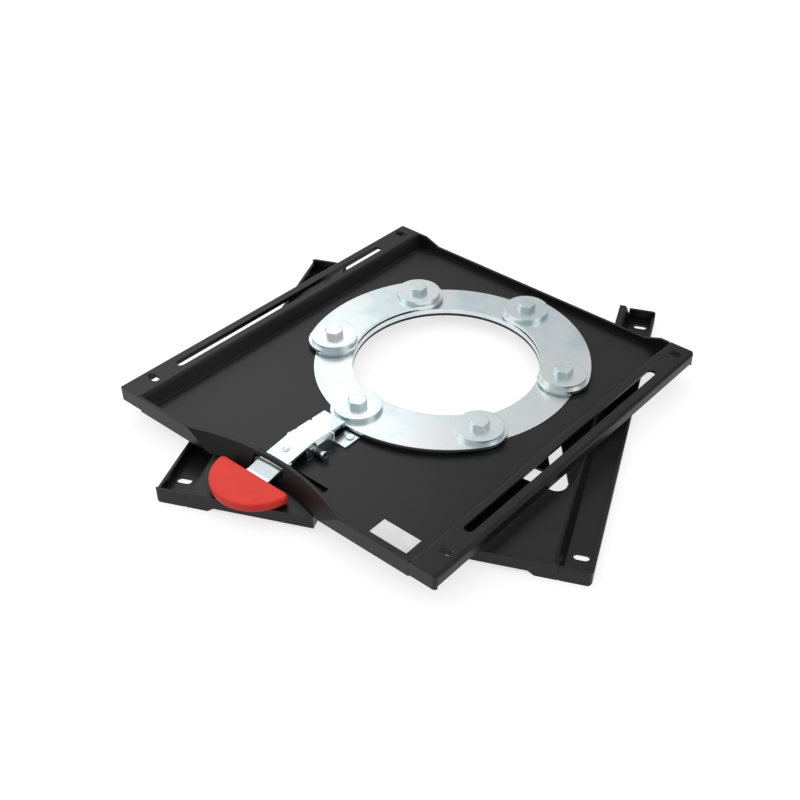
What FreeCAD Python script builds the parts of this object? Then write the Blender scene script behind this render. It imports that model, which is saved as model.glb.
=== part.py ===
import FreeCAD, Part
import math
import os
import re
import Sketcher

Vector = FreeCAD.Vector
doc = FreeCAD.newDocument("SwivelSeatBase")
sheet = doc.addObject("Spreadsheet::Sheet", "Sizes")

# driving sizes in millimetres and degrees, one alias each
DRIVING_SIZES = {
    # both pressings
    "plate_width": 408.0,
    "plate_depth": 422.0,
    "plate_shift_x": -4.7,
    "plate_shift_y": -45.3,
    "sheet": 3.0,
    "press_tall": 17.5,
    "rail_width": 30.0,
    "rail_lean": 6.0,
    "flange_drop": 12.0,
    "bend_outer": 4.0,
    "tab_drop": 15.5,
    "tab_wide": 29.7,
    "plate_corner": 4.0,
    "bend_offset": 2.4,
    "rear_corner": 11.0,
    "rear_ramp": 19.0,
    "rear_drop": 7.0,
    # hand recess at the front of the upper plate
    "recess_x": -4.5,
    "recess_share": 0.86,
    "recess_reach": 106.0,
    "recess_depth": 20.0,
    "recess_lean": 9.0,
    # notches at the front and the rear of the lower plate
    "toe_from_x": -50.0,
    "toe_to_x": 50.0,
    "toe_depth": 15.0,
    "heel_inset": 5.0,
    "heel_depth": 51.0,
    "heel_gap": 4.0,
    # rail fixing holes
    "hole_wide": 8.5,
    "hole_long": 15.0,
    "hole_inset": 14.5,
    "hole_front_y": -180.2,
    "hole_rear_y": 195.0,
    "rail_slot_wide": 9.75,
    "rail_slot_from": -151.0,
    "rail_slot_to": 155.0,
    "rail_slot_inset": 16.0,
    # lower platform
    "front_slot_long": 60.7,
    "front_slot_wide": 20.7,
    "front_slot_inset": 35.5,
    "front_slot_y": -100.9,
    "front_slot_angle": 16.9,
    "side_slot_long": 76.0,
    "side_slot_wide": 14.6,
    "side_slot_inset": 22.3,
    "side_slot_y": -75.3,
    "side_slot_angle": 72.2,
    "skirt_rise": 4.5,
    "skirt_foot": 21.0,
    "skirt_ramp": 6.0,
    "cut_past": 1.0,
    # swivel bearing
    "rest_turn": 24.4,
    "ring_tall": 5.5,
    "ring_outer": 138.0,
    "passage": 98.2,
    "swivel_play": 0.05,
    "slide_tall": 1.2,
    "lift_play": 0.05,
    "slide_inner": 140.0,
    "slide_outer": 151.0,
    "spacer_radius": 25.0,
    "spacer_tall": 2.5,
    "arc_outer": 150.6,
    "arc_tall": 3.0,
    "pad_inner": 139.0,
    "pad_outer": 149.5,
    "pad_gap": 0.1,
    "pad_angle": 38.0,
    "washer_radius": 24.0,
    "washer_tall": 4.5,
    # bolts and nuts
    "bolt_circle": 123.5,
    "shank_radius": 5.0,
    "bolt_play": 0.25,
    "nut_play": 0.05,
    "hex_flats": 17.0,
    "head_tall": 6.4,
    "nut_tall": 8.0,
    "thread_out": 3.0,
    "head_chamfer": 0.2,
    # lever and its bracket
    "lever_x": -11.0,
    "lever_wide": 28.0,
    "lever_tall": 3.0,
    "lever_inner_y": -106.0,
    "lever_inner_z": 33.5,
    "lever_bend_y": -151.0,
    "lever_bend_z": 35.2,
    "lever_wall_in": 15.0,
    "lever_wall_z": 29.2,
    "lever_grip_in": 4.0,
    "lever_grip_z": 26.5,
    "lever_end_out": 25.0,
    "notch_deep": 1.6,
    "notch_long": 3.5,
    "notch_inner_y": -125.0,
    "notch_outer_y": -145.0,
    "ear_from": -157.0,
    "ear_to": -139.0,
    "ear_low": 22.4,
    "ear_top": 32.4,
    "pivot_y": -149.0,
    "pivot_z": 26.4,
    "pin_radius": 3.3,
    "pin_bore": 2.2,
    "pin_left": -31.0,
    "pin_right": 17.4,
    "pin_head": 4.4,
    "pin_head_tall": 1.6,
    "pin_play": 0.06,
    "bracket_tall": 2.0,
    "bracket_gap": 0.5,
    "bracket_front": -134.5,
    "bracket_rear": -124.0,
    "cheek_top": 31.6,
    "cheek_front": -155.5,
    "foot_side": 21.0,
    "foot_rear": -105.8,
    "foot_start": -126.0,
    "rivet_radius": 2.5,
    "rivet_head": 4.0,
    "rivet_tall": 1.4,
    "rivet_play": 0.05,
    "rivet_left_x": -16.0,
    "rivet_left_y": -129.2,
    "rivet_right_x": 14.0,
    "rivet_right_y": -112.0,
    "coil_radius": 3.95,
    "coil_wire": 0.5,
    "coil_pitch": 1.7,
    "coil_turns": 4.0,
    "coil_start": 6.4,
    "coil_leg": 12.0,
    # latch
    "latch_wide": 13.0,
    "latch_x": -1.5,
    "latch_tall": 3.0,
    "latch_in": 29.5,
    "latch_gap": 0.4,
    "latch_top": 30.3,
    "slot_from_x": -42.0,
    "slot_to_x": 48.5,
    "slot_from_in": 23.5,
    "slot_to_in": 34.0,
    "window_side": 5.0,
    "window_above": 3.2,
    # grip
    "grip_radius": 44.5,
    "grip_back_in": 1.0,
    "grip_x": -12.0,
    "grip_set_back": 2.5,
    "grip_low": 19.3,
    "grip_high": 28.7,
    "grip_corner": 5.0,
    "grip_edge": 2.6,
    "grip_slot_play": 0.1,
    "screw_radius": 2.0,
    "screw_head": 3.6,
    "screw_head_tall": 1.6,
    "screw_play": 0.05,
    "screw_inner_out": 7.0,
    "screw_outer_out": 18.0,
    # label
    "label_wide": 43.0,
    "label_deep": 20.0,
    "label_tall": 0.3,
    "label_inset": 11.0,
    "label_in": 17.0,
}

# sizes that follow from the driving ones
FOLLOWING_SIZES = {
    "upper_base": "press_tall + slide_tall + lift_play",
    "tray_top": "upper_base + sheet",
    "ring_top": "press_tall + ring_tall",
    "spacer_top": "ring_top + spacer_tall",
    "arc_top": "spacer_top + arc_tall",
    "washer_top": "arc_top + washer_tall",
    "bore_radius": "ring_outer + swivel_play",
    "rail_inner": "plate_width / 2 - rail_width",
    "floor_half": "plate_width / 2 - rail_width - rail_lean",
    "back_y": "plate_shift_y + plate_depth / 2",
    "front_y": "plate_shift_y - plate_depth / 2",
    "lever_left": "lever_x - lever_wide / 2",
    "lever_right": "lever_x + lever_wide / 2",
    "cheek_left": "lever_left - bracket_gap - bracket_tall",
    "cheek_right": "lever_right + bracket_gap",
    "arc_end": "arc_outer - bolt_circle",
    "bolt_foot": "press_tall - sheet - nut_tall - thread_out",
    "hex_radius": "hex_flats / 2 / cos(30)",
    "hole_radius": "shank_radius + bolt_play",
    "floor_under": "press_tall - sheet",
    "recess_radii": "recess_reach ^ 2 / (2 * recess_depth) + recess_depth / 2",
    "recess_radius": "recess_share * recess_radii",
    "recess_blend": "recess_radii - recess_radius",
    "recess_y": "front_y + recess_depth - recess_radius",
    "recess_join": "recess_reach * recess_radius / (recess_radius + recess_blend)",
    "recess_back": "front_y + recess_depth + 2 * sheet",
    "recess_wall": "sheet * sqrt(1 + (recess_lean / press_tall) ^ 2)",
}

BOLT_COUNT = 6
ARC_COUNT = 3
BOLT_STEP = 360.0 / BOLT_COUNT
FIRST_BOLT_ANGLE = 180.0
SIDES = (-1, 1)
EDGE_TOLERANCE = 0.01
subparts = []


def fill_sheet():
    rows = [(name, str(value)) for name, value in DRIVING_SIZES.items()]
    rows += [(name, "=" + rule) for name, rule in FOLLOWING_SIZES.items()]
    for row, (name, cell) in enumerate(rows, start=1):
        sheet.set("A%d" % row, name)
        sheet.set("B%d" % row, cell)
        sheet.setAlias("B%d" % row, name)
        if cell.startswith("="):
            doc.recompute()
    doc.recompute()


def on_sheet(rule):
    def prefixed(match):
        word = match.group(0)
        known = word in DRIVING_SIZES or word in FOLLOWING_SIZES
        return "Sizes." + word if known else word
    return re.sub(r"[a-z_]+", prefixed, str(rule))


def number(rule):
    return float(sheet.evalExpression(on_sheet(rule)))


def bind(item, rules):
    for path, rule in rules.items():
        item.setExpression(path, on_sheet(rule))


def place(item, x, y, z):
    bind(item, {"Placement.Base.x": x, "Placement.Base.y": y, "Placement.Base.z": z})


def box(name, x, y, z, long, deep, tall):
    item = doc.addObject("Part::Box", name)
    bind(item, {"Length": long, "Width": deep, "Height": tall})
    place(item, x, y, z)
    return item


def span_box(name, x_range, y_range, z_range):
    sizes = ["%s - (%s)" % (high, low) for low, high in (x_range, y_range, z_range)]
    return box(name, x_range[0], y_range[0], z_range[0], *sizes)


def cylinder(name, x, y, z, radius, tall):
    item = doc.addObject("Part::Cylinder", name)
    bind(item, {"Radius": radius, "Height": tall})
    place(item, x, y, z)
    return item


def cross_cylinder(name, x, y, z, radius, long):
    item = cylinder(name, x, y, z, radius, long)
    item.Placement.Rotation = FreeCAD.Rotation(Vector(0, 1, 0), 90)
    return item


def joined(name, items):
    item = doc.addObject("Part::MultiFuse", name)
    item.Shapes = items
    item.Refine = True
    return item


def cut(name, base, tools):
    item = doc.addObject("Part::Cut", name)
    item.Base = base
    item.Tool = tools[0] if len(tools) == 1 else joined(name + "_tools", tools)
    item.Refine = True
    return item


def common(name, base, tool):
    item = doc.addObject("Part::Common", name)
    item.Base = base
    item.Tool = tool
    return item


def ring(name, z, outer, inner, tall):
    disc = cylinder(name + "_disc", 0, 0, z, outer, tall)
    bore = cylinder(name + "_bore", 0, 0, "%s - cut_past" % z, inner, "%s + 2 * cut_past" % tall)
    return cut(name, disc, [bore])


def disc_slice(name, z, radius, tall, angle, turn):
    item = cylinder(name, 0, 0, z, radius, tall)
    bind(item, {"Angle": angle})
    item.Placement.Rotation = FreeCAD.Rotation(Vector(0, 0, 1), turn)
    return item


def obround(name, x, y, z, long, wide, tall, along_x):
    if along_x:
        middle = box(name + "_middle", "%s - (%s - %s) / 2" % (x, long, wide),
                     "%s - %s / 2" % (y, wide), z, "%s - %s" % (long, wide), wide, tall)
        ends = [("%s + %d * (%s - %s) / 2" % (x, side, long, wide), y) for side in SIDES]
    else:
        middle = box(name + "_middle", "%s - %s / 2" % (x, wide),
                     "%s - (%s - %s) / 2" % (y, long, wide), z, wide, "%s - %s" % (long, wide), tall)
        ends = [(x, "%s + %d * (%s - %s) / 2" % (y, side, long, wide)) for side in SIDES]
    rounds = []
    for index, (end_x, end_y) in enumerate(ends, start=1):
        rounds.append(cylinder("%s_end_%d" % (name, index), end_x, end_y, z, "%s / 2" % wide, tall))
    return joined(name, [middle] + rounds)


def bolt_spot(index):
    angle = FIRST_BOLT_ANGLE - BOLT_STEP * (index - 1)
    return "bolt_circle * cos(%g)" % angle, "bolt_circle * sin(%g)" % angle


def bolt_holes(name, z, tall):
    holes = []
    for index in range(1, BOLT_COUNT + 1):
        x, y = bolt_spot(index)
        holes.append(cylinder("%s_hole_%d" % (name, index), x, y, z, "hole_radius", tall))
    return holes


def new_body(name):
    return doc.addObject("PartDesign::Body", name)


def sketch_on(body, name, role):
    plane = [item for item in body.Origin.OriginFeatures if item.Role == role][0]
    sketch = body.newObject("Sketcher::SketchObject", name)
    sketch.AttachmentSupport = (plane, "")
    sketch.MapMode = "FlatFace"
    return sketch


def name_constraint(sketch, constraint, name, rule):
    index = sketch.addConstraint(constraint)
    sketch.renameConstraint(index, name)
    bind(sketch, {"Constraints." + name: rule})


def outline(sketch, corners):
    points = [Vector(number(x), number(y), 0) for x, y in corners]
    count = len(points)
    for index in range(count):
        following = points[(index + 1) % count]
        sketch.addGeometry(Part.LineSegment(points[index], following), False)
    for index in range(count):
        sketch.addConstraint(Sketcher.Constraint("Coincident", index, 2, (index + 1) % count, 1))
    for index, (x, y) in enumerate(corners):
        for axis, kind, rule, value in ((-2, "DistanceX", x, points[index].x),
                                        (-1, "DistanceY", y, points[index].y)):
            if rule == "0":
                sketch.addConstraint(Sketcher.Constraint("PointOnObject", index, 1, axis))
                continue
            constraint = Sketcher.Constraint(kind, -1, 1, index, 1, value)
            name_constraint(sketch, constraint, "%s%d" % (kind.lower(), index), rule)


def pad(body, name, sketch, tall, symmetric=False):
    item = body.newObject("PartDesign::Pad", name)
    item.Profile = sketch
    if symmetric:
        item.SideType = "Symmetric"
    bind(item, {"Length": tall})
    doc.recompute()
    return item


def edges_near(shape, fits):
    return ["Edge%d" % (index + 1) for index, edge in enumerate(shape.Edges) if fits(edge)]


def fillet(body, name, base, fits, radius):
    item = body.newObject("PartDesign::Fillet", name)
    item.Base = (base, edges_near(base.Shape, fits))
    bind(item, {"Radius": radius})
    doc.recompute()
    return item


def runs_along_y(spots):
    targets = [(number(x), number(z)) for x, z in spots]

    def fits(edge):
        ends = [vertex.Point for vertex in edge.Vertexes]
        if len(ends) < 2 or abs(ends[0].x - ends[1].x) + abs(ends[0].z - ends[1].z) > EDGE_TOLERANCE:
            return False
        return any(abs(ends[0].x - x) + abs(ends[0].z - z) < EDGE_TOLERANCE for x, z in targets)
    return fits


def subpart(item, label, turned=False):
    item.Label = label
    if turned:
        item.Placement.Rotation = FreeCAD.Rotation(Vector(0, 0, -1), number("rest_turn"))
        bind(item, {"Placement.Rotation.Angle": "rest_turn"})
    subparts.append(item)


# the folded section shared by both plates: tray floor, leaning walls, rails and side flanges
def tray_section(name, middle_x):
    body = new_body(name)
    half = [("plate_width / 2 - sheet", "press_tall - flange_drop"),
            ("plate_width / 2", "press_tall - flange_drop"),
            ("plate_width / 2", "press_tall"),
            ("rail_inner", "press_tall"),
            ("floor_half", "sheet")]
    under = [("floor_half + bend_offset", "0"),
             ("rail_inner + bend_offset", "press_tall - sheet"),
             ("plate_width / 2 - sheet", "press_tall - sheet")]
    left = [("-(%s)" % x, z) for x, z in reversed(half)]
    left_under = [("-(%s)" % x, z) for x, z in reversed(under)]
    sketch = sketch_on(body, name + "_sketch", "XZ_Plane")
    outline(sketch, half + left + left_under + under)
    section = pad(body, name + "_pad", sketch, "plate_depth", symmetric=True)
    outer = []
    inner = []
    for sign in ("", "-"):
        outer += [(sign + "(plate_width / 2)", "press_tall"), (sign + "rail_inner", "press_tall")]
        inner += [(sign + "(plate_width / 2 - sheet)", "press_tall - sheet")]
        inner += [(sign + "(rail_inner + bend_offset)", "press_tall - sheet")]
        inner += [(sign + "floor_half", "sheet")]
        outer += [(sign + "(floor_half + bend_offset)", "0")]
    rounded = fillet(body, name + "_outer_bends", section, runs_along_y(outer), "bend_outer")
    fillet(body, name + "_inner_bends", rounded, runs_along_y(inner), "bend_outer - sheet")
    place(body, middle_x, "plate_shift_y", 0)
    return body


# the upright wall at the rear, lower between its two ramps
def rear_wall(name, middle_x):
    body = new_body(name)
    half = [("rail_inner - rear_corner", "press_tall"),
            ("rail_inner - rear_corner - rear_ramp", "press_tall - rear_drop")]
    top = [("rail_inner", "press_tall")] + half + [("-(%s)" % x, z) for x, z in reversed(half)]
    corners = top + [("-rail_inner", "press_tall"), ("-floor_half", "0"), ("floor_half", "0")]
    sketch = sketch_on(body, name + "_sketch", "XZ_Plane")
    outline(sketch, corners)
    pad(body, name + "_pad", sketch, "sheet")
    place(body, middle_x, "back_y", 0)
    return body


def front_wall(name, middle_x):
    x_range = ("%s - rail_inner" % middle_x, "%s + rail_inner" % middle_x)
    return span_box(name, x_range, ("front_y", "front_y + sheet"), ("0", "press_tall"))


# small tabs that close the ends of the rails
def rail_tabs(name, middle_x):
    tabs = []
    for side in SIDES:
        inner = "%s + %d * plate_width / 2 - %s" % (middle_x, side, "tab_wide" if side > 0 else "0")
        for end, low in (("front", "front_y"), ("rear", "back_y - sheet")):
            tab_name = "%s_%s_%d" % (name, end, (side + 3) // 2)
            tabs.append(box(tab_name, inner, low, "press_tall - tab_drop",
                            "tab_wide", "sheet", "tab_drop - sheet / 2"))
    return tabs


# rounded upright corners, as tools that take the sharp corner away
def corner_tools(name, middle_x):
    tools = []
    past = "plate_corner + cut_past"
    tall = "tab_drop + 2 * cut_past"
    low = "press_tall - tab_drop - cut_past"
    for side in SIDES:
        for end, edge in ((-1, "front_y"), (1, "back_y")):
            x = "%s + %d * (plate_width / 2 - plate_corner)" % (middle_x, side)
            y = "%s - %d * plate_corner" % (edge, end)
            tool_name = "%s_%d" % (name, len(tools) + 1)
            block = box(tool_name + "_block", x if side > 0 else "%s - (%s)" % (x, past),
                        y if end > 0 else "%s - (%s)" % (y, past), low, past, past, tall)
            round_part = cylinder(tool_name + "_round", x, y, low, "plate_corner", tall)
            tools.append(cut(tool_name, block, [round_part]))
    return tools


# walls, rails and tabs as one solid
def pan(name, middle_x):
    walls = [tray_section(name + "_section", middle_x), rear_wall(name + "_rear", middle_x),
             front_wall(name + "_front", middle_x)]
    solid = joined(name + "_walls", walls + rail_tabs(name + "_tab", middle_x))
    return cut(name + "_pan", solid, corner_tools(name + "_corner", middle_x))


# a leaning round wall: grow is 1 where the circle widens upwards and -1 where it narrows
def lean_cone(name, x, y, rim, low, tall, grow):
    item = doc.addObject("Part::Cone", name)
    slope = "%d * recess_lean / press_tall" % grow
    foot = "%s - (press_tall - (%s)) * %s" % (rim, low, slope)
    bind(item, {"Radius1": foot, "Radius2": "%s + (%s) * %s" % (foot, tall, slope), "Height": tall})
    place(item, x, y, low)
    return item


# the curved hand recess: one hollow arc, run into the front edge by a round arc at each end
def hand_recess(name, middle_x, solid):
    x = "%s + recess_x" % middle_x
    through = ("-cut_past", "press_tall + 2 * cut_past")
    airs = [lean_cone(name + "_air", x, "recess_y", "recess_radius", *through, 1)]
    inner = lean_cone(name + "_inner", x, "recess_y", "recess_radius", *through, 1)
    outer = lean_cone(name + "_outer", x, "recess_y", "recess_radius + recess_wall", "0", "press_tall", 1)
    limits = span_box(name + "_limits", (x + " - recess_join", x + " + recess_join"),
                      ("front_y", "recess_back"), ("0", "press_tall"))
    walls = [common(name + "_wall", cut(name + "_shell", outer, [inner]), limits)]
    for side, end in zip(SIDES, ("left", "right")):
        tip = "%s + %d * recess_reach" % (x, side)
        reach = ["%s + %d * recess_join" % (x, side), "%s + %d * (recess_reach - sheet)" % (x, side)][::side]
        blend = (tip, "front_y + recess_blend")
        wedge = span_box("%s_wedge_%s" % (name, end), reach, ("front_y - cut_past", "front_y + recess_depth"),
                         ("-cut_past", "press_tall + cut_past"))
        airs.append(cut("%s_air_%s" % (name, end), wedge,
                        [lean_cone("%s_rim_%s" % (name, end), *blend, "recess_blend", *through, -1)]))
        band = cut("%s_band_%s" % (name, end),
                   lean_cone("%s_face_%s" % (name, end), *blend, "recess_blend", "0", "press_tall", -1),
                   [lean_cone("%s_back_%s" % (name, end), *blend, "recess_blend - recess_wall",
                              *through, -1)])
        reach_limits = span_box("%s_limits_%s" % (name, end), reach, ("front_y", "recess_back"),
                                ("0", "press_tall"))
        walls.append(common("%s_wall_%s" % (name, end), band, reach_limits))
    return joined(name + "_formed", [cut(name + "_opened", solid, airs)] + walls)


# the square notch at the front of the lower plate, with its own walls
def toe_notch(name, middle_x, solid):
    low = "%s + toe_from_x" % middle_x
    high = "%s + toe_to_x" % middle_x
    air = span_box(name + "_air", (low, high), ("front_y - cut_past", "front_y + toe_depth"),
                   ("-cut_past", "press_tall + cut_past"))
    block = span_box(name + "_block", (low + " - sheet", high + " + sheet"),
                     ("front_y", "front_y + toe_depth + sheet"), ("0", "press_tall"))
    return cut(name + "_formed", joined(name + "_thick", [solid, block]), [air])


# the wide notch at the rear of the lower plate, which leaves the platform under the bearing
def heel_notch(name, middle_x):
    half = "floor_half - heel_inset"
    block = span_box(name + "_block", ("%s - (%s)" % (middle_x, half), "%s + %s" % (middle_x, half)),
                     ("back_y - heel_depth", "back_y + cut_past"), ("-cut_past", "press_tall + cut_past"))
    keep = cylinder(name + "_keep", 0, 0, "-2 * cut_past", "slide_outer + heel_gap",
                    "press_tall + 4 * cut_past")
    return cut(name, block, [keep])


def rail_holes(name, middle_x, z):
    holes = []
    for side in SIDES:
        for end in ("front", "rear"):
            x = "%s + %d * (plate_width / 2 - hole_inset)" % (middle_x, side)
            y = "plate_shift_y + hole_%s_y" % end
            hole_name = "%s_%s_%d" % (name, end, (side + 3) // 2)
            holes.append(obround(hole_name, x, y, z, "hole_long", "hole_wide", "sheet + 2 * cut_past", True))
    return holes


def upper_plate():
    middle_x = "plate_shift_x"
    formed = hand_recess("hand_recess", middle_x, pan("upper", middle_x))
    rail_low = "press_tall - sheet - cut_past"
    tools = rail_holes("upper_hole", middle_x, rail_low)
    for side in SIDES:
        x = "%s + %d * (plate_width / 2 - rail_slot_inset)" % (middle_x, side)
        y = "plate_shift_y + (rail_slot_from + rail_slot_to) / 2"
        tools.append(obround("upper_slot_%d" % ((side + 3) // 2), x, y, rail_low,
                             "(rail_slot_to - rail_slot_from)", "rail_slot_wide",
                             "sheet + 2 * cut_past", False))
    tools.append(cylinder("upper_bearing_hole", 0, 0, "-cut_past", "bore_radius", "sheet + 2 * cut_past"))
    floor_range = ("-cut_past", "sheet + cut_past")
    tools.append(span_box("upper_latch_slot",
                          ("plate_shift_x + slot_from_x", "plate_shift_x + slot_to_x"),
                          ("front_y + slot_from_in", "front_y + slot_to_in"), floor_range))
    tools.append(span_box("upper_window",
                          ("plate_shift_x + lever_left - window_side",
                           "plate_shift_x + lever_right + window_side"),
                          ("front_y - cut_past", "recess_back"), ("sheet", "press_tall - window_above")))
    for side in ("left", "right"):
        x = "plate_shift_x + rivet_%s_x" % side
        y = "plate_shift_y + rivet_%s_y" % side
        tools.append(cylinder("upper_rivet_hole_" + side, x, y, "-cut_past",
                              "rivet_radius + rivet_play", "sheet + 2 * cut_past"))
    item = cut("upper_plate", formed, tools)
    bind(item, {"Placement.Base.z": "upper_base"})
    subpart(item, "upper_plate", turned=True)


# a slot that lies at an angle, mirrored on the other side of the plate
def slanted_slot(name, role, middle_x, side):
    sizes = {key: "%s_slot_%s" % (role, key) for key in ("long", "wide", "inset", "y", "angle")}
    item = obround(name, "0", "0", "0", sizes["long"], sizes["wide"], "sheet + 2 * cut_past", True)
    item.Placement.Rotation = FreeCAD.Rotation(Vector(0, 0, -side), number(sizes["angle"]))
    bind(item, {"Placement.Rotation.Angle": sizes["angle"]})
    place(item, "%s + %d * (floor_half - %s)" % (middle_x, side, sizes["inset"]),
          "plate_shift_y + %s" % sizes["y"], "-cut_past")
    return item


# takes the middle of the front skirt up from the ground, with a ramp at each end
def skirt_tool(name, middle_x):
    body = new_body(name)
    half = [("rail_inner - skirt_foot", "press_tall + cut_past"), ("rail_inner - skirt_foot", "press_tall"),
            ("rail_inner - skirt_foot - skirt_ramp", "press_tall - skirt_rise")]
    corners = half + [("-(%s)" % x, z) for x, z in reversed(half)]
    sketch = sketch_on(body, name + "_sketch", "XZ_Plane")
    outline(sketch, corners)
    pad(body, name + "_pad", sketch, "toe_depth + 2 * sheet + cut_past")
    place(body, middle_x, "front_y + toe_depth + 2 * sheet", 0)
    return body


# the same pan turned over, so that its rails stand on the seat box
def lower_plate():
    middle_x = "-plate_shift_x"
    formed = toe_notch("toe_notch", middle_x, pan("lower", middle_x))
    tall = "sheet + 2 * cut_past"
    tools = rail_holes("lower_hole", middle_x, "press_tall - sheet - cut_past")
    tools.append(cylinder("lower_passage", 0, 0, "-cut_past", "passage", tall))
    tools += bolt_holes("lower", "-cut_past", tall)
    for side in SIDES:
        for role in ("front", "side"):
            tools.append(slanted_slot("%s_slot_%d" % (role, (side + 3) // 2), role, middle_x, side))
    tools += [skirt_tool("skirt_step", middle_x), heel_notch("heel_notch", middle_x)]
    item = cut("lower_plate", formed, tools)
    item.Placement.Rotation = FreeCAD.Rotation(Vector(0, 1, 0), 180)
    bind(item, {"Placement.Base.z": "press_tall"})
    subpart(item, "lower_plate")


def centre_ring():
    blank = ring("centre_ring_blank", "press_tall", "ring_outer", "passage", "ring_tall")
    holes = bolt_holes("centre_ring", "press_tall - cut_past", "ring_tall + 2 * cut_past")
    subpart(cut("centre_ring", blank, holes), "centre_ring")


def lower_slide_ring():
    item = ring("lower_slide_ring", "press_tall", "slide_outer", "slide_inner", "slide_tall")
    subpart(item, "lower_slide_ring")


def disc_with_hole(name, index, low, radius, tall):
    x, y = bolt_spot(index)
    disc = cylinder(name + "_blank", x, y, low, radius, tall)
    hole = cylinder(name + "_hole", x, y, "%s - cut_past" % low, "hole_radius", "%s + 2 * cut_past" % tall)
    subpart(cut(name, disc, [hole]), name)


def retaining_arc(index):
    name = "retaining_arc_%d" % index
    pair = (2 * index - 1, 2 * index)
    turn = FIRST_BOLT_ANGLE - BOLT_STEP * (pair[1] - 1)
    rounds = [disc_slice(name + "_disc", "spacer_top", "arc_outer", "arc_tall", BOLT_STEP, turn)]
    holes = [cylinder(name + "_bore", 0, 0, "spacer_top - cut_past", "passage", "arc_tall + 2 * cut_past")]
    for end in pair:
        x, y = bolt_spot(end)
        rounds.append(cylinder("%s_end_%d" % (name, end), x, y, "spacer_top", "arc_end", "arc_tall"))
        holes.append(cylinder("%s_hole_%d" % (name, end), x, y, "spacer_top - cut_past",
                              "hole_radius", "arc_tall + 2 * cut_past"))
    subpart(cut(name, joined(name + "_blank", rounds), holes), name)


def upper_slide_pad(index):
    name = "upper_slide_pad_%d" % index
    middle = FIRST_BOLT_ANGLE - BOLT_STEP * (2 * index - 1.5)
    low = "(tray_top + pad_gap)"
    tall = "(spacer_top - tray_top - pad_gap)"
    disc = disc_slice(name + "_disc", low, "pad_outer", tall, "pad_angle", middle - number("pad_angle") / 2)
    bore = cylinder(name + "_bore", 0, 0, low + " - cut_past", "pad_inner", tall + " + 2 * cut_past")
    subpart(cut(name, disc, [bore]), name)


def hex_blank(name, x, y, z, tall):
    item = doc.addObject("Part::Prism", name)
    item.Polygon = 6
    bind(item, {"Circumradius": "hex_radius", "Height": tall})
    place(item, x, y, z)
    return item


# a cone whose rim rounds off the corners of a hexagon
def hex_limit(name, x, y, z, tall):
    item = doc.addObject("Part::Cone", name)
    bind(item, {"Radius1": "hex_flats / 2 + 2 * %s" % tall, "Radius2": "hex_flats / 2 - head_chamfer",
                "Height": tall})
    place(item, x, y, z)
    return item


def hex_bolt(index):
    name = "hex_bolt_%d" % index
    x, y = bolt_spot(index)
    blank = hex_blank(name + "_hex", x, y, "washer_top", "head_tall")
    head = common(name + "_head", blank, hex_limit(name + "_limit", x, y, "washer_top", "head_tall"))
    shank = cylinder(name + "_shank", x, y, "bolt_foot", "shank_radius", "washer_top - bolt_foot")
    subpart(joined(name, [head, shank]), name)


def hex_nut(index):
    name = "hex_nut_%d" % index
    x, y = bolt_spot(index)
    blank = hex_blank(name + "_hex", x, y, "floor_under - nut_tall", "nut_tall")
    hole = cylinder(name + "_hole", x, y, "floor_under - nut_tall - cut_past", "shank_radius + nut_play",
                    "nut_tall + 2 * cut_past")
    subpart(cut(name, blank, [hole]), name)


# the long flat lever: its folded side outline, ears and edge notches
def lever_blank():
    body = new_body("lever_blank")
    top = [("plate_shift_y + lever_inner_y", "lever_inner_z"),
           ("plate_shift_y + lever_bend_y", "lever_bend_z"),
           ("front_y + lever_wall_in", "lever_wall_z"), ("front_y + lever_grip_in", "lever_grip_z"),
           ("front_y - lever_end_out", "lever_grip_z")]
    under = [(y, z + " - lever_tall") for y, z in reversed(top)]
    sketch = sketch_on(body, "lever_sketch", "YZ_Plane")
    outline(sketch, top + under)
    pad(body, "lever_pad", sketch, "lever_wide", symmetric=True)
    place(body, "plate_shift_x + lever_x", 0, 0)
    return body


def lever_strip(blank):
    y_range = ("plate_shift_y + ear_from", "plate_shift_y + ear_to")
    left = "plate_shift_x + lever_left"
    right = "plate_shift_x + lever_right"
    ears = [span_box("lever_ear_1", (left, left + " + lever_tall"), y_range, ("ear_low", "ear_top")),
            span_box("lever_ear_2", (right + " - lever_tall", right), y_range, ("ear_low", "ear_top"))]
    tools = [cross_cylinder("lever_pin_hole", left + " - cut_past", "plate_shift_y + pivot_y", "pivot_z",
                            "pin_radius + pin_play", "lever_wide + 2 * cut_past")]
    for end in ("inner", "outer"):
        middle = "plate_shift_y + notch_%s_y" % end
        tools.append(span_box("lever_notch_" + end, (left + " - cut_past", left + " + notch_deep"),
                              (middle + " - notch_long / 2", middle + " + notch_long / 2"),
                              ("lever_inner_z - lever_tall", "lever_bend_z + cut_past")))
    for end in ("inner", "outer"):
        tools.append(cylinder("lever_screw_hole_" + end, "plate_shift_x + lever_x",
                              "front_y - screw_%s_out" % end, "grip_low",
                              "screw_radius + screw_play", "grip_high - grip_low"))
    item = cut("lever_strip", joined("lever_folded", [blank] + ears), tools)
    subpart(item, "lever_strip", turned=True)


def latch_tongue(blank):
    block = span_box("latch_block", ("plate_shift_x + latch_x - latch_wide / 2",
                                     "plate_shift_x + latch_x + latch_wide / 2"),
                     ("front_y + latch_in - latch_tall / 2", "front_y + latch_in + latch_tall / 2"),
                     ("press_tall + latch_gap", "latch_top"))
    subpart(cut("latch_tongue", block, [blank]), "latch_tongue", turned=True)


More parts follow.
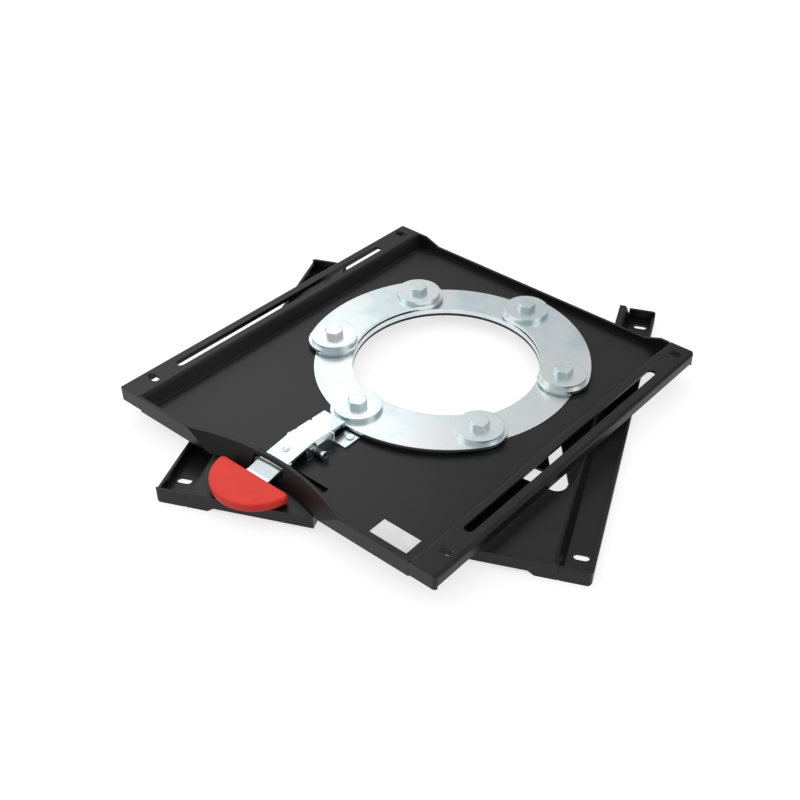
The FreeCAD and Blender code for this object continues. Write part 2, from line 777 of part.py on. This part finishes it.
def grip_body():
    body = new_body("grip_body")
    sketch = sketch_on(body, "grip_sketch", "XY_Plane")
    radius = number("grip_radius")
    centre_y = number("grip_set_back")
    reach = (radius ** 2 - centre_y ** 2) ** 0.5
    start = math.pi + math.atan2(centre_y, reach)
    circle = Part.Circle(Vector(0, centre_y, 0), Vector(0, 0, 1), radius)
    sketch.addGeometry(Part.ArcOfCircle(circle, start, 3 * math.pi - start), False)
    sketch.addGeometry(Part.LineSegment(Vector(reach, 0, 0), Vector(-reach, 0, 0)), False)
    sketch.addConstraint(Sketcher.Constraint("Coincident", 0, 2, 1, 1))
    sketch.addConstraint(Sketcher.Constraint("Coincident", 0, 1, 1, 2))
    sketch.addConstraint(Sketcher.Constraint("PointOnObject", 1, 1, -1))
    sketch.addConstraint(Sketcher.Constraint("PointOnObject", 1, 2, -1))
    sketch.addConstraint(Sketcher.Constraint("PointOnObject", 0, 3, -2))
    name_constraint(sketch, Sketcher.Constraint("Radius", 0, radius), "radius", "grip_radius")
    name_constraint(sketch, Sketcher.Constraint("DistanceY", -1, 1, 0, 3, centre_y), "set_back",
                    "grip_set_back")
    block = pad(body, "grip_pad", sketch, "grip_high - grip_low")

    def upright(edge):
        ends = [vertex.Point for vertex in edge.Vertexes]
        return len(ends) == 2 and abs(ends[0].z - ends[1].z) > EDGE_TOLERANCE

    def around(edge):
        return not upright(edge)
    cornered = fillet(body, "grip_corners", block, upright, "grip_corner")
    fillet(body, "grip_edges", cornered, around, "grip_edge")
    place(body, "plate_shift_x + grip_x", "front_y + grip_back_in", "grip_low")
    return body


def handle_grip():
    slot = span_box("grip_slot",
                    ("plate_shift_x + lever_left - grip_slot_play",
                     "plate_shift_x + lever_right + grip_slot_play"),
                    ("front_y - lever_end_out - grip_slot_play", "front_y + grip_back_in + cut_past"),
                    ("lever_grip_z - lever_tall - grip_slot_play", "lever_grip_z + grip_slot_play"))
    tools = [slot]
    for end in ("inner", "outer"):
        x = "plate_shift_x + lever_x"
        y = "front_y - screw_%s_out" % end
        tools.append(cylinder("grip_screw_hole_" + end, x, y, "grip_low - cut_past",
                              "screw_radius + screw_play", "lever_grip_z - grip_low + cut_past"))
        tools.append(cylinder("grip_screw_seat_" + end, x, y, "grip_low - cut_past",
                              "screw_head + screw_play", "screw_head_tall + cut_past + screw_play"))
    subpart(cut("handle_grip", grip_body(), tools), "handle_grip", turned=True)


def grip_screw(index, end):
    name = "grip_screw_%d" % index
    x = "plate_shift_x + lever_x"
    y = "front_y - screw_%s_out" % end
    head = cylinder(name + "_head", x, y, "grip_low", "screw_head", "screw_head_tall")
    shank = cylinder(name + "_shank", x, y, "grip_low", "screw_radius", "lever_grip_z - grip_low")
    subpart(joined(name, [head, shank]), name, turned=True)


def lever_bracket():
    left = "plate_shift_x + cheek_left"
    right = "plate_shift_x + cheek_right"
    floor = ("tray_top", "tray_top + bracket_tall")
    cheek_y = ("plate_shift_y + cheek_front", "plate_shift_y + bracket_rear")
    cheek_z = ("tray_top", "cheek_top")
    solids = [
        span_box("bracket_base", (left, right + " + bracket_tall"),
                 ("plate_shift_y + bracket_front", "plate_shift_y + bracket_rear"), floor),
        span_box("bracket_cheek_1", (left, left + " + bracket_tall"), cheek_y, cheek_z),
        span_box("bracket_cheek_2", (right, right + " + bracket_tall"), cheek_y, cheek_z),
        span_box("bracket_foot", (right, "plate_shift_x + foot_side"),
                 ("plate_shift_y + foot_start", "plate_shift_y + foot_rear"), floor)]
    tools = [cross_cylinder("bracket_pin_hole", left + " - cut_past", "plate_shift_y + pivot_y", "pivot_z",
                            "pin_radius + pin_play",
                            "%s + 2 * cut_past + bracket_tall - (%s)" % (right, left))]
    for side in ("left", "right"):
        tools.append(cylinder("bracket_rivet_hole_" + side, "plate_shift_x + rivet_%s_x" % side,
                              "plate_shift_y + rivet_%s_y" % side, "tray_top - cut_past",
                              "rivet_radius + rivet_play", "bracket_tall + 2 * cut_past"))
    subpart(cut("lever_bracket", joined("bracket_folded", solids), tools), "lever_bracket", turned=True)


def bracket_rivet(index, side):
    name = "bracket_rivet_%d" % index
    x = "plate_shift_x + rivet_%s_x" % side
    y = "plate_shift_y + rivet_%s_y" % side
    head = cylinder(name + "_head", x, y, "tray_top + bracket_tall", "rivet_head", "rivet_tall")
    shank = cylinder(name + "_shank", x, y, "upper_base", "rivet_radius", "sheet + bracket_tall")
    subpart(joined(name, [head, shank]), name, turned=True)


def pivot_pin():
    y = "plate_shift_y + pivot_y"
    shaft = cross_cylinder("pivot_shaft", "plate_shift_x + pin_left", y, "pivot_z", "pin_radius",
                           "pin_right - pin_left")
    head = cross_cylinder("pivot_head", "plate_shift_x + pin_right - pin_head_tall", y, "pivot_z",
                          "pin_head", "pin_head_tall")
    bore = cross_cylinder("pivot_bore", "plate_shift_x + pin_left - cut_past", y, "pivot_z", "pin_bore",
                          "pin_right - pin_left + 2 * cut_past")
    subpart(cut("pivot_pin", joined("pivot_solid", [shaft, head]), [bore]), "pivot_pin", turned=True)


def return_spring():
    x = "plate_shift_x + coil_start"
    y = "plate_shift_y + pivot_y"
    helix = doc.addObject("Part::Helix", "spring_line")
    bind(helix, {"Pitch": "coil_pitch", "Height": "coil_pitch * coil_turns", "Radius": "coil_radius"})
    place(helix, x, y, "pivot_z")
    helix.Placement.Rotation = FreeCAD.Rotation(Vector(0, 1, 0), 90)
    wire = doc.addObject("Part::Circle", "spring_wire")
    bind(wire, {"Radius": "coil_wire"})
    place(wire, x, y, "pivot_z - coil_radius")
    wire.Placement.Rotation = FreeCAD.Rotation(Vector(1, 0, 0), 90)
    coil = doc.addObject("Part::Sweep", "spring_coil")
    coil.Sections = [wire]
    coil.Spine = (helix, ["Edge1"])
    coil.Solid = True
    coil.Frenet = True
    legs = []
    leg_feet = ((x, y + " - coil_leg"), (x + " + coil_pitch * coil_turns", y))
    for index, (leg_x, leg_y) in enumerate(leg_feet, start=1):
        leg = cylinder("spring_leg_%d" % index, leg_x, leg_y, "pivot_z - coil_radius", "coil_wire", "coil_leg")
        leg.Placement.Rotation = FreeCAD.Rotation(Vector(1, 0, 0), -90)
        legs.append(leg)
    subpart(joined("return_spring", [coil] + legs), "return_spring", turned=True)


def label_plate():
    right = "plate_shift_x + floor_half - label_inset"
    front = "front_y + label_in"
    height = ("tray_top", "tray_top + label_tall")
    blank = span_box("label_blank", (right + " - label_wide", right),
                     (front, front + " + label_deep"), height)
    limits = span_box("label_limits", ("plate_shift_x - floor_half", "plate_shift_x + floor_half"),
                      ("front_y", "back_y"), height)
    subpart(common("label_plate", blank, limits), "label_plate", turned=True)


def main():
    fill_sheet()
    lower_plate()
    centre_ring()
    lower_slide_ring()
    for index in range(1, BOLT_COUNT + 1):
        disc_with_hole("spacer_disc_%d" % index, index, "ring_top", "spacer_radius", "spacer_tall")
        disc_with_hole("thick_washer_%d" % index, index, "arc_top", "washer_radius", "washer_tall")
        hex_bolt(index)
        hex_nut(index)
    for index in range(1, ARC_COUNT + 1):
        retaining_arc(index)
        upper_slide_pad(index)
    upper_plate()
    blank = lever_blank()
    lever_strip(blank)
    latch_tongue(blank)
    handle_grip()
    for index, end in enumerate(("inner", "outer"), start=1):
        grip_screw(index, end)
    lever_bracket()
    for index, side in enumerate(("left", "right"), start=1):
        bracket_rivet(index, side)
    pivot_pin()
    return_spring()
    label_plate()
    doc.recompute()
    check_and_write()


def check_and_write():
    for item in doc.Objects:
        if "Invalid" in item.State or "Error" in item.State:
            raise RuntimeError("%s is %s" % (item.Name, item.State))
    os.makedirs("parts", exist_ok=True)
    for item in subparts:
        shape = item.Shape
        if shape.isNull() or not shape.isValid() or shape.Volume <= 0:
            raise RuntimeError("%s has no valid shape" % item.Label)
        shape.exportStep("parts/%s.step" % item.Label)
        print("%s %.0f" % (item.Label, shape.Volume))


main()
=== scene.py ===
import bpy
import math
from mathutils import Matrix, Vector


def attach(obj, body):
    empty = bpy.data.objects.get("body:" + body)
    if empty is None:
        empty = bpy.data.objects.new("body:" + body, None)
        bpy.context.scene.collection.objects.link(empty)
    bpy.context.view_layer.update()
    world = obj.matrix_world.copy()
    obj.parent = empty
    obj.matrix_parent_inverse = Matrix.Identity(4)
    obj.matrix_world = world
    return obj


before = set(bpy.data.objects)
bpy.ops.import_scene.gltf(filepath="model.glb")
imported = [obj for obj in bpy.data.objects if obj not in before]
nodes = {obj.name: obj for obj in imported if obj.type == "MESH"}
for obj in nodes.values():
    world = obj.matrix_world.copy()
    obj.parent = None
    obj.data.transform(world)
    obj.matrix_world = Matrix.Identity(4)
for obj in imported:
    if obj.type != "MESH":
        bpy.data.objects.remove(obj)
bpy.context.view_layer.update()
print("frame loaded with", len(nodes), "nodes")

millimetre = 0.001
plateTurn = math.radians(-24.4)
plateShift = Vector((-4.7, -45.3, 0))


def clearSelection():
    if bpy.context.object and bpy.context.object.mode != "OBJECT":
        bpy.ops.object.mode_set(mode="OBJECT")
    bpy.ops.object.select_all(action="DESELECT")


# materials

def newMaterial(name):
    material = bpy.data.materials.new(name)
    material.use_nodes = True
    tree = material.node_tree
    shader = tree.nodes["Principled BSDF"]
    return material, tree, shader


def addNode(tree, kind, **inputs):
    node = tree.nodes.new(kind)
    for key, value in inputs.items():
        node.inputs[key.replace("_", " ")].default_value = value
    return node


def objectCoordinates(tree, scale=(1, 1, 1)):
    coordinates = tree.nodes.new("ShaderNodeTexCoord")
    mapping = tree.nodes.new("ShaderNodeMapping")
    mapping.inputs["Scale"].default_value = scale
    tree.links.new(coordinates.outputs["Object"], mapping.inputs["Vector"])
    return mapping.outputs["Vector"]


def noise(tree, place, scale, detail=3, roughness=0.5):
    node = addNode(tree, "ShaderNodeTexNoise", Scale=scale, Detail=detail, Roughness=roughness)
    tree.links.new(place, node.inputs["Vector"])
    return node.outputs["Fac"]


def rampBetween(tree, factor, stops):
    ramp = tree.nodes.new("ShaderNodeValToRGB")
    elements = ramp.color_ramp.elements
    elements[0].position, elements[0].color = stops[0][0], stops[0][1]
    elements[1].position, elements[1].color = stops[-1][0], stops[-1][1]
    for position, colour in stops[1:-1]:
        element = elements.new(position)
        element.color = colour
    tree.links.new(factor, ramp.inputs["Fac"])
    return ramp.outputs["Color"]


def spread(tree, factor, low, high, start=0.0, end=1.0):
    node = tree.nodes.new("ShaderNodeMapRange")
    node.inputs["From Min"].default_value = start
    node.inputs["From Max"].default_value = end
    node.inputs["To Min"].default_value = low
    node.inputs["To Max"].default_value = high
    tree.links.new(factor, node.inputs["Value"])
    return node.outputs["Result"]


softEdge = 0.0006  # metres, the bend that the light sees along a sharp edge


# a bevelled look for the sharp edges, and fine relief on top of it
def addRelief(tree, shader, height, settings):
    bump = addNode(tree, "ShaderNodeBump", Strength=settings["relief"], Distance=settings["depth"])
    rounded = addNode(tree, "ShaderNodeBevel", Radius=softEdge)
    tree.links.new(rounded.outputs["Normal"], bump.inputs["Normal"])
    tree.links.new(height, bump.inputs["Height"])
    tree.links.new(bump.outputs["Normal"], shader.inputs["Normal"])


powderCoat = {"dark": (0.005, 0.005, 0.0054, 1), "light": (0.010, 0.010, 0.0103, 1), "shine": 0.30,
              "roughLow": 0.33, "roughHigh": 0.40, "grain": 2600, "patches": 9,
              "relief": 0.10, "depth": 0.00012}


def powderCoatMaterial():
    material, tree, shader = newMaterial("powderCoat")
    place = objectCoordinates(tree)
    patches = noise(tree, place, powderCoat["patches"], detail=4, roughness=0.55)
    colour = rampBetween(tree, patches, [(0.3, powderCoat["dark"]), (0.7, powderCoat["light"])])
    tree.links.new(colour, shader.inputs["Base Color"])
    rough = spread(tree, patches, powderCoat["roughLow"], powderCoat["roughHigh"])
    tree.links.new(rough, shader.inputs["Roughness"])
    grain = noise(tree, place, powderCoat["grain"], detail=2, roughness=0.6)
    addRelief(tree, shader, grain, powderCoat)
    shader.inputs["Specular IOR Level"].default_value = powderCoat["shine"]
    return material


zincPlate = {"pale": (0.72, 0.79, 0.80, 1), "blue": (0.58, 0.69, 0.73, 1), "warm": (0.77, 0.77, 0.76, 1),
             "cloud": 22, "spangle": 130, "roughLow": 0.24, "roughHigh": 0.38,
             "rolling": (900, 40, 40), "relief": 0.05, "depth": 0.0001}

# dark steel for the return spring; the punched dots also use it, there as painted shade in their pits
springWireAndDotShade = {"pale": (0.16, 0.17, 0.18, 1), "blue": (0.10, 0.11, 0.13, 1), "warm": (0.20, 0.19, 0.17, 1),
              "cloud": 22, "spangle": 300, "roughLow": 0.3, "roughHigh": 0.45,
              "rolling": (900, 900, 900), "relief": 0.05, "depth": 0.0001}


def zincMaterial(name, settings):
    material, tree, shader = newMaterial(name)
    place = objectCoordinates(tree)
    cloud = noise(tree, place, settings["cloud"], detail=4, roughness=0.6)
    colour = rampBetween(tree, cloud, [(0.32, settings["blue"]), (0.52, settings["pale"]),
                                       (0.72, settings["warm"])])
    tree.links.new(colour, shader.inputs["Base Color"])
    spangle = noise(tree, place, settings["spangle"], roughness=0.6)
    rough = spread(tree, spangle, settings["roughLow"], settings["roughHigh"])
    tree.links.new(rough, shader.inputs["Roughness"])
    rolled = noise(tree, objectCoordinates(tree, settings["rolling"]), scale=1, roughness=0.6)
    addRelief(tree, shader, rolled, settings)
    shader.inputs["Metallic"].default_value = 1.0
    return material


slidePlastic = {"dark": (0.008, 0.008, 0.009, 1), "light": (0.014, 0.014, 0.015, 1), "mix": (0.3, 0.7),
                "cloud": 60, "roughLow": 0.5, "roughHigh": 0.62, "shine": 0.5,
                "grain": 1500, "grainRough": 0.5, "relief": 0.1, "depth": 0.0001}

gripPlastic = {"dark": (0.76, 0.034, 0.022, 1), "light": (0.86, 0.046, 0.028, 1), "mix": (0.3, 0.65),
               "cloud": 45, "roughLow": 0.38, "roughHigh": 0.50, "shine": 0.28,
               "grain": 1900, "grainRough": 0.6, "relief": 0.12, "depth": 0.0001,
               "glow": 0.08, "glowReach": (0.004, 0.001, 0.0008)}

labelFilm = {"dark": (0.78, 0.79, 0.78, 1), "light": (0.86, 0.87, 0.86, 1), "mix": (0.2, 0.6),
             "cloud": 90, "roughLow": 0.35, "roughHigh": 0.45, "shine": 0.5,
             "grain": 700, "grainRough": 0.5, "relief": 0.05, "depth": 0.0001}


def plasticMaterial(name, settings):
    material, tree, shader = newMaterial(name)
    place = objectCoordinates(tree)
    cloud = noise(tree, place, settings["cloud"])
    start, end = settings["mix"]
    tree.links.new(rampBetween(tree, cloud, [(start, settings["dark"]), (end, settings["light"])]),
                   shader.inputs["Base Color"])
    tree.links.new(spread(tree, cloud, settings["roughLow"], settings["roughHigh"]),
                   shader.inputs["Roughness"])
    shader.inputs["Specular IOR Level"].default_value = settings["shine"]
    grain = noise(tree, place, settings["grain"], detail=2, roughness=settings["grainRough"])
    addRelief(tree, shader, grain, settings)
    if "glow" in settings:  # a little light passes through the red plastic
        shader.inputs["Subsurface Weight"].default_value = settings["glow"]
        shader.inputs["Subsurface Radius"].default_value = settings["glowReach"]
    return material


black = powderCoatMaterial()
zinc = zincMaterial("zincPlate", zincPlate)
darkWireAndDotShade = zincMaterial("springWireAndDotShade", springWireAndDotShade)
slide = plasticMaterial("slidePlastic", slidePlastic)
grip = plasticMaterial("gripPlastic", gripPlastic)
film = plasticMaterial("labelFilm", labelFilm)


def dress(item, material):
    item.data.materials.clear()
    item.data.materials.append(material)


def materialFor(name):
    if name in ("upper_plate", "lower_plate"):
        return black
    if "slide" in name:
        return slide
    if name == "handle_grip":
        return grip
    if name == "label_plate":
        return film
    if name == "return_spring":
        return darkWireAndDotShade
    return zinc


for name, item in nodes.items():
    dress(item, materialFor(name))
print("materials on every node")


# small formed pieces on the lever, shaped along the upper plate and then turned with it

smoothAngle = math.radians(35)
facing = 0.9  # how nearly a face's normal points along an axis to be picked
joinDistance = 0.000001


# bevels the piece's edges, joins its doubles, turns it with the plate and lets it ride on its body
def keepPiece(name, material, body, edge):
    piece = bpy.context.object
    if piece.mode != "OBJECT":
        bpy.ops.object.mode_set(mode="OBJECT")
    bpy.ops.object.transform_apply(location=True, rotation=True, scale=True)
    if edge:
        bevel = piece.modifiers.new("softEdges", "BEVEL")
        bevel.width = edge * millimetre
        bevel.segments = 2
        bevel.limit_method = "ANGLE"
        bpy.ops.object.modifier_apply(modifier=bevel.name)
    bpy.ops.object.mode_set(mode="EDIT")
    bpy.ops.mesh.select_all(action="SELECT")
    bpy.ops.mesh.remove_doubles(threshold=joinDistance)
    bpy.ops.mesh.normals_make_consistent(inside=False)
    bpy.ops.object.mode_set(mode="OBJECT")
    bpy.ops.object.shade_smooth_by_angle(angle=smoothAngle)
    piece.data.transform(Matrix.Rotation(plateTurn, 4, "Z") @ Matrix.Translation(plateShift * millimetre))
    piece.name = name
    dress(piece, material)
    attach(piece, body)


# picks the end faces that look up or down the piece's own z axis, and stays in edit mode
def selectEnd(piece, side):
    bpy.ops.object.mode_set(mode="EDIT")
    bpy.ops.mesh.select_mode(type="FACE")
    bpy.ops.mesh.select_all(action="DESELECT")
    bpy.ops.object.mode_set(mode="OBJECT")
    for face in piece.data.polygons:
        face.select = face.normal.z * side > facing
    bpy.ops.object.mode_set(mode="EDIT")


rolledEar = {"middle": (3.4, -138.0, 31.0), "radius": 3.3, "long": 20.0, "wall": 1.3, "hollow": 7.0,
             "sides": 32, "edge": 0.3}


def addRolledEar():
    clearSelection()
    bpy.ops.mesh.primitive_cylinder_add(vertices=rolledEar["sides"], radius=rolledEar["radius"] * millimetre,
                                        depth=rolledEar["long"] * millimetre,
                                        location=Vector(rolledEar["middle"]) * millimetre,
                                        rotation=(math.radians(90), 0, 0))
    piece = bpy.context.object
    for side in (-1, 1):  # each end is hollowed like a rolled strip
        selectEnd(piece, side)
        bpy.ops.mesh.inset(thickness=rolledEar["wall"] * millimetre)
        bpy.ops.mesh.extrude_region_move()
        bpy.ops.transform.translate(value=(0, side * rolledEar["hollow"] * millimetre, 0))
    keepPiece("rolledEar", zinc, "lever", rolledEar["edge"])


# narrow and short are how far the foot shrinks across and along
earTab = {"middle": (4.2, -126.6, 30.4), "size": (7.5, 2.0, 8.5), "narrow": 0.55, "short": 1.0, "edge": 0.4}
innerFold = {"middle": (-4.0, -107.2, 27.6), "size": (13.6, 2.4, 5.4), "narrow": 0.85, "short": 0.7,
             "edge": 0.5}


# a short plate that hangs from the lever and narrows to its foot
def addHangingPlate(name, settings):
    clearSelection()
    bpy.ops.mesh.primitive_cube_add(size=millimetre, location=Vector(settings["middle"]) * millimetre)
    piece = bpy.context.object
    piece.scale = settings["size"]
    bpy.ops.object.transform_apply(location=False, rotation=False, scale=True)
    selectEnd(piece, -1)
    bpy.ops.transform.resize(value=(settings["narrow"], settings["short"], 1))
    keepPiece(name, zinc, "lever", settings["edge"])


springGuard = {"middle": (6.5, -151.5, 26.0), "radius": 8.0, "thick": 1.4, "tall": 8.0, "arc": 105.0,
               "steps": 14, "start": -118.0, "edge": 0.3}


# the curved wall in front of the pin's end
def addSpringGuard():
    clearSelection()
    middle = Vector(springGuard["middle"]) * millimetre
    bpy.ops.mesh.primitive_plane_add(size=millimetre, rotation=(math.radians(90), 0, 0))
    piece = bpy.context.object
    piece.scale = (springGuard["thick"], springGuard["tall"], 1)
    bpy.ops.object.transform_apply(location=False, rotation=True, scale=True)
    outwards = Matrix.Translation((springGuard["radius"] * millimetre, 0, 0))
    start = Matrix.Rotation(math.radians(springGuard["start"]), 4, "Z")
    piece.data.transform(Matrix.Translation(middle) @ start @ outwards)
    bpy.ops.object.mode_set(mode="EDIT")
    bpy.ops.mesh.select_all(action="SELECT")
    bpy.ops.mesh.spin(steps=springGuard["steps"], angle=math.radians(springGuard["arc"]), center=middle,
                      axis=(0, 0, 1))
    bpy.ops.mesh.select_mode(type="EDGE")
    bpy.ops.mesh.select_all(action="DESELECT")
    bpy.ops.mesh.select_non_manifold()
    bpy.ops.mesh.edge_face_add()
    keepPiece("springGuard", zinc, "turntable", springGuard["edge"])


peenedRivet = {"middle": (-12.1, -170.6, 32.65), "lean": 7.6, "sides": 32, "radius": 3.7, "tall": 0.9,
               "rim": 0.9, "crown": 0.25, "edge": 0.15}
punchedDot = {"sides": 16, "radius": 0.75, "tall": 0.35, "rim": 0.25, "crown": -0.15, "edge": 0,
              "aside": 1.6, "along": 0.5, "above": 0.65}


# a low round head on the leaning part of the lever, domed or dished inside its rim
def addLowHead(name, settings, material, offset):
    clearSelection()
    bpy.ops.mesh.primitive_cylinder_add(vertices=settings["sides"], radius=settings["radius"] * millimetre,
                                        depth=settings["tall"] * millimetre)
    piece = bpy.context.object
    selectEnd(piece, 1)
    bpy.ops.mesh.inset(thickness=settings["rim"] * millimetre)
    bpy.ops.transform.translate(value=(0, 0, settings["crown"] * millimetre))
    bpy.ops.object.mode_set(mode="OBJECT")
    middle = Matrix.Translation(Vector(peenedRivet["middle"]) * millimetre)
    lean = Matrix.Rotation(math.radians(peenedRivet["lean"]), 4, "X")
    piece.data.transform(middle @ lean @ Matrix.Translation(Vector(offset) * millimetre))
    keepPiece(name, material, "lever", settings["edge"])


# the peened end that holds the latch, with two punched dots in it
def addPeenedRivet():
    addLowHead("peenedRivet", peenedRivet, zinc, (0, 0, 0))
    # the dots use the dark spring steel instead of zinc: painted shade in their shallow pits
    for side, dotName in ((-1, "punchedDotLeft"), (1, "punchedDotRight")):
        offset = (side * punchedDot["aside"], side * punchedDot["along"], punchedDot["above"])
        addLowHead(dotName, punchedDot, darkWireAndDotShade, offset)


addRolledEar()
addHangingPlate("earTab", earTab)
addSpringGuard()
addHangingPlate("innerFold", innerFold)
addPeenedRivet()
print("formed pieces on the lever")


# floor, lamps and camera

studio = {"floorSize": 14, "floorColour": (0.42, 0.42, 0.42, 1), "floorGlow": 0.72,
          "lowLight": 0.30, "highLight": 0.95, "lightFrom": 0.20, "lightTo": 0.90, "leftShare": 0.30}


def eitherRay(tree, first, second):
    path = tree.nodes.new("ShaderNodeLightPath")
    seen = tree.nodes.new("ShaderNodeMath")
    seen.operation = "MAXIMUM"
    tree.links.new(path.outputs[first], seen.inputs[0])
    tree.links.new(path.outputs[second], seen.inputs[1])
    return seen.outputs[0]


def addFloor():
    clearSelection()
    bpy.ops.mesh.primitive_plane_add(size=studio["floorSize"], location=(0, 0, 0))
    floor = bpy.context.object
    floor.name = "studioFloor"
    material, tree, shader = newMaterial("floorPaper")
    shader.inputs["Base Color"].default_value = studio["floorColour"]
    shader.inputs["Roughness"].default_value = 0.9
    shader.inputs["Specular IOR Level"].default_value = 0.1
    strength = spread(tree, eitherRay(tree, "Is Camera Ray", "Is Glossy Ray"), 0.0, studio["floorGlow"])
    shader.inputs["Emission Color"].default_value = (1, 1, 1, 1)
    tree.links.new(strength, shader.inputs["Emission Strength"])
    dress(floor, material)


def addWorld():
    world = bpy.data.worlds.new("studioWorld")
    world.use_nodes = True
    bpy.context.scene.world = world
    tree = world.node_tree
    background = tree.nodes["Background"]
    background.inputs["Color"].default_value = (1, 1, 1, 1)
    direction = tree.nodes.new("ShaderNodeTexCoord")
    parts = tree.nodes.new("ShaderNodeSeparateXYZ")
    tree.links.new(direction.outputs["Generated"], parts.inputs["Vector"])
    raised = tree.nodes.new("ShaderNodeMath")  # brighter upwards and to the left
    raised.operation = "MULTIPLY_ADD"
    raised.inputs[1].default_value = -studio["leftShare"]
    tree.links.new(parts.outputs["X"], raised.inputs[0])
    tree.links.new(parts.outputs["Z"], raised.inputs[2])
    sky = spread(tree, raised.outputs[0], studio["lowLight"], studio["highLight"],
                 studio["lightFrom"], studio["lightTo"])
    mix = tree.nodes.new("ShaderNodeMix")
    tree.links.new(eitherRay(tree, "Is Camera Ray", "Is Transmission Ray"), mix.inputs["Factor"])
    tree.links.new(sky, mix.inputs["A"])
    mix.inputs["B"].default_value = 1.0
    tree.links.new(mix.outputs["Result"], background.inputs["Strength"])


lamps = {
    "rearSoftbox": {"place": (-0.78, 1.02, 1.15), "aim": (-0.15, -0.18, 0), "size": (0.8, 0.6), "power": 2},
    "leftSoftbox": {"place": (-1.5, -0.3, 0.9), "aim": (0, 0, 0), "size": (1.2, 0.8), "power": 4},
    "rightSoftbox": {"place": (1.5, -0.4, 0.8), "aim": (0, 0, 0), "size": (1.0, 0.8), "power": 4},
}


def addLamps():
    for name, settings in lamps.items():
        data = bpy.data.lights.new(name, "AREA")
        data.shape = "RECTANGLE"
        data.size, data.size_y = settings["size"]
        data.energy = settings["power"]
        lamp = bpy.data.objects.new(name, data)
        bpy.context.scene.collection.objects.link(lamp)
        lamp.location = settings["place"]
        aim = Vector(settings["aim"]) - lamp.location
        lamp.rotation_euler = aim.to_track_quat("-Z", "Y").to_euler()


cameraView = {"target": (46.21, -58.82, 25.0), "distance": 1207.01, "aside": -12.96, "above": 37.783,
              "roll": 1.776, "focalPixels": 1206.17, "photoPixels": 800.0, "centreX": 476.08,
              "sensor": 36.0}


def addCamera():
    aside = math.radians(cameraView["aside"])
    above = math.radians(cameraView["above"])
    roll = math.radians(cameraView["roll"])
    back = Vector((-math.sin(aside) * math.cos(above), -math.cos(aside) * math.cos(above), math.sin(above)))
    right = (-back).cross(Vector((0, 0, 1))).normalized()
    up = right.cross(-back)
    rolledRight = right * math.cos(roll) + up * math.sin(roll)
    rolledUp = up * math.cos(roll) - right * math.sin(roll)
    data = bpy.data.cameras.new("photoCamera")
    camera = bpy.data.objects.new("photoCamera", data)
    bpy.context.scene.collection.objects.link(camera)
    place = (Vector(cameraView["target"]) + back * cameraView["distance"]) * millimetre
    turn = Matrix((rolledRight, rolledUp, back)).transposed()
    camera.matrix_world = Matrix.Translation(place) @ turn.to_4x4()
    data.sensor_width = cameraView["sensor"]
    data.lens = cameraView["focalPixels"] / cameraView["photoPixels"] * cameraView["sensor"]
    data.shift_x = 0.5 - cameraView["centreX"] / cameraView["photoPixels"]
    data.clip_start = 0.01
    bpy.context.scene.camera = camera


addFloor()
addWorld()
addLamps()
addCamera()
bpy.context.scene.view_settings.view_transform = "Standard"
print("floor, lamps and camera")
